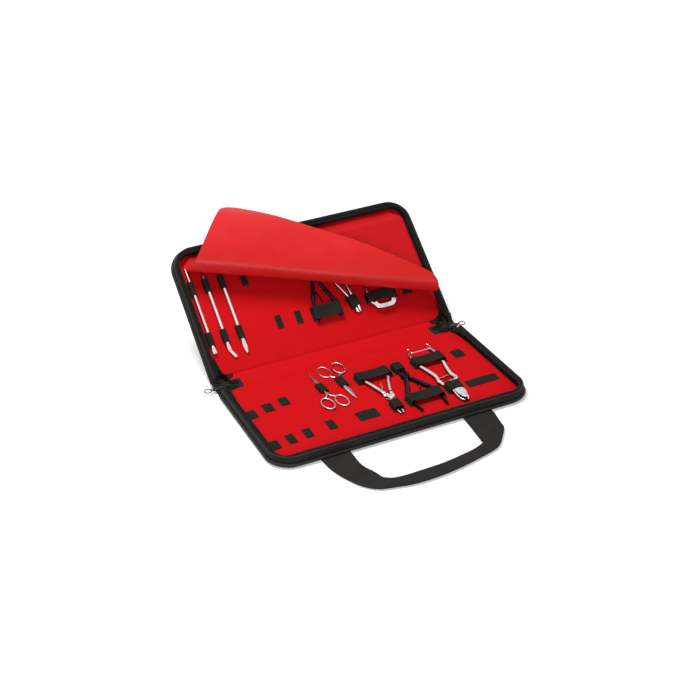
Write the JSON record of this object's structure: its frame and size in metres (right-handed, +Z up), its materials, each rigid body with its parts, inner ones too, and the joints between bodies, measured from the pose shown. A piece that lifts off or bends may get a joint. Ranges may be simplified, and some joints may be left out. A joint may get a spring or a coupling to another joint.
{
  "type": "manicure set case",
  "caption": "Soft zip-around manicure case, opened on a folding spine, with red lining, elastic tool bands, cover flap, webbing handle and steel nail tools.",
  "frame": {"origin": "centre of the underside of the base half", "axes": "+X along the spine to the right, +Y from the handle towards the lid, +Z up"},
  "size_m": [0.3446, 0.4409, 0.1563],
  "materials": {
    "black_fabric": "woven nylon",
    "piping": "smooth piping",
    "zip_tape": "herringbone tape",
    "zip_teeth": "nylon coil",
    "board": "pressed board",
    "red_lining": "satin leatherette",
    "red_flap": "satin leatherette",
    "elastic": "ribbed elastic",
    "webbing": "woven webbing",
    "zip_metal": "plated",
    "dark_steel": "dark violet coating",
    "tool_steel": "polished"
  },
  "bodies": {
    "base": {"base_skin": "black_fabric", "base_board": "board", "base_lining": "red_lining", "base_wall": "black_fabric", "base_piping": "piping", "base_zip_tape": "zip_tape", "base_zip_coil": "zip_teeth", "base_tool_loops": "elastic", "base_wide_bands": "elastic", "base_small_bands": "elastic", "handle_anchors": "black_fabric", "scissors_curved_fixed": "tool_steel", "scissors_fine_fixed": "tool_steel", "cuticle_nipper_fixed": "tool_steel", "dark_nipper_fixed": "dark_steel", "toenail_nipper_fixed": "tool_steel", "base_tool_pivots": "tool_steel", "base_nipper_springs": "tool_steel", "toenail_nipper_catch": "tool_steel"},
    "spine": {"spine_skin": "black_fabric", "spine_board": "board", "spine_lining": "red_lining", "spine_gussets": "black_fabric", "zip_end_tabs": "black_fabric", "zip_stubs": "zip_tape", "zip_slider_left": "zip_metal", "zip_slider_right": "zip_metal"},
    "lid": {"lid_skin": "black_fabric", "lid_board": "board", "lid_lining": "red_lining", "lid_wall": "black_fabric", "lid_piping": "piping", "lid_zip_tape": "zip_tape", "lid_zip_coil": "zip_teeth", "lid_tool_loops": "elastic", "lid_bands": "elastic", "violet_nipper_fixed": "dark_steel", "corner_nipper_fixed": "tool_steel", "heavy_nipper_fixed": "tool_steel", "lid_tool_pivots": "tool_steel", "lid_nipper_springs": "tool_steel", "heavy_nipper_catch": "tool_steel", "flap_seam": "red_lining", "flap_sewn_part": "red_flap"},
    "flap": {"flap_free_part": "red_flap"},
    "handle": {"handle_strap": "webbing"},
    "pull_left": {"zip_pull_left": "zip_metal"},
    "pull_right": {"zip_pull_right": "zip_metal"},
    "scissors_curved": {"scissors_curved_moving": "tool_steel"},
    "scissors_fine": {"scissors_fine_moving": "tool_steel"},
    "cuticle_nipper": {"cuticle_nipper_moving": "tool_steel"},
    "dark_nipper": {"dark_nipper_moving": "dark_steel"},
    "toenail_nipper": {"toenail_nipper_moving": "tool_steel"},
    "violet_nipper": {"violet_nipper_moving": "dark_steel"},
    "corner_nipper": {"corner_nipper_moving": "tool_steel"},
    "heavy_nipper": {"heavy_nipper_moving": "tool_steel"},
    "file_pusher": {"file_pusher": "tool_steel"},
    "file_bent_blade": {"file_bent_blade": "tool_steel"},
    "file_leaf": {"file_leaf": "tool_steel"}
  },
  "joints": [
    {"name": "spine_fold", "type": "hinge", "parent": "base", "child": "spine", "pos_m": [0, 0.08875, 0.0015], "axis": [1, 0, 0], "range_deg": [0, 90]},
    {"name": "lid_fold", "type": "hinge", "parent": "spine", "child": "lid", "pos_m": [0, 0.11275, 0.0015], "axis": [1, 0, 0], "range_deg": [0, 49.5]},
    {"name": "flap_fold", "type": "hinge", "parent": "lid", "child": "flap", "pos_m": [0.00435, 0.17533, 0.08644], "axis": [0.9423, -0.2545, -0.2174], "range_deg": [0, 178], "deforming": ["flap_free_part", "flap_sewn_part"]},
    {"name": "handle_swing", "type": "hinge", "parent": "base", "child": "handle", "pos_m": [0, -0.09005, 0.0025], "axis": [-1, 0, 0], "range_deg": [0, 90]},
    {"name": "pull_left_swing", "type": "hinge", "parent": "spine", "child": "pull_left", "pos_m": [-0.1633, 0.10075, 0.00455], "axis": [0, 1, 0], "range_deg": [0, 100]},
    {"name": "pull_right_swing", "type": "hinge", "parent": "spine", "child": "pull_right", "pos_m": [0.1633, 0.10075, 0.00455], "axis": [0, -1, 0], "range_deg": [0, 100]},
    {"name": "scissors_curved_open", "type": "hinge", "parent": "base", "child": "scissors_curved", "pos_m": [-0.0232, 0.03875, 0.005], "axis": [0, 0, -1], "range_deg": [0, 3]},
    {"name": "scissors_fine_open", "type": "hinge", "parent": "base", "child": "scissors_fine", "pos_m": [-0.0494, 0.03975, 0.005], "axis": [0, 0, -1], "range_deg": [0, 3]},
    {"name": "cuticle_nipper_squeeze", "type": "hinge", "parent": "base", "child": "cuticle_nipper", "pos_m": [0.0108, -0.01825, 0.005], "axis": [0, 0, 1], "range_deg": [0, 3.5], "stiffness_Nm_per_rad": 0.3},
    {"name": "dark_nipper_squeeze", "type": "hinge", "parent": "base", "child": "dark_nipper", "pos_m": [0.0464, 0.01575, 0.005], "axis": [0, 0, 1], "range_deg": [0, 3.5], "stiffness_Nm_per_rad": 0.3},
    {"name": "toenail_nipper_squeeze", "type": "hinge", "parent": "base", "child": "toenail_nipper", "pos_m": [0.085, -0.02825, 0.005], "axis": [0, 0, 1], "range_deg": [0, 3.5], "stiffness_Nm_per_rad": 0.3},
    {"name": "violet_nipper_squeeze", "type": "hinge", "parent": "lid", "child": "violet_nipper", "pos_m": [0.0064, 0.18956, 0.0717], "axis": [0, 0.6494, -0.7604], "range_deg": [0, 3.5], "stiffness_Nm_per_rad": 0.3},
    {"name": "corner_nipper_squeeze", "type": "hinge", "parent": "lid", "child": "corner_nipper", "pos_m": [0.0444, 0.15397, 0.04131], "axis": [0, 0.6494, -0.7604], "range_deg": [0, 3.5], "stiffness_Nm_per_rad": 0.3},
    {"name": "heavy_nipper_squeeze", "type": "hinge", "parent": "lid", "child": "heavy_nipper", "pos_m": [0.082, 0.20249, 0.08274], "axis": [0, 0.6494, -0.7604], "range_deg": [0, 3.5], "stiffness_Nm_per_rad": 0.3},
    {"name": "file_pusher_slide", "type": "slide", "parent": "lid", "child": "file_pusher", "axis": [0, -0.7604, -0.6494], "range_m": [0, 0.02]},
    {"name": "file_bent_blade_slide", "type": "slide", "parent": "lid", "child": "file_bent_blade", "axis": [0, -0.7604, -0.6494], "range_m": [0, 0.02]},
    {"name": "file_leaf_slide", "type": "slide", "parent": "lid", "child": "file_leaf", "axis": [0, -0.7604, -0.6494], "range_m": [0, 0.02]}
  ],
  "couplings": [
    {"joint": "flap_fold", "follows": "spine_fold", "ratio": 1.9777}
  ]
}
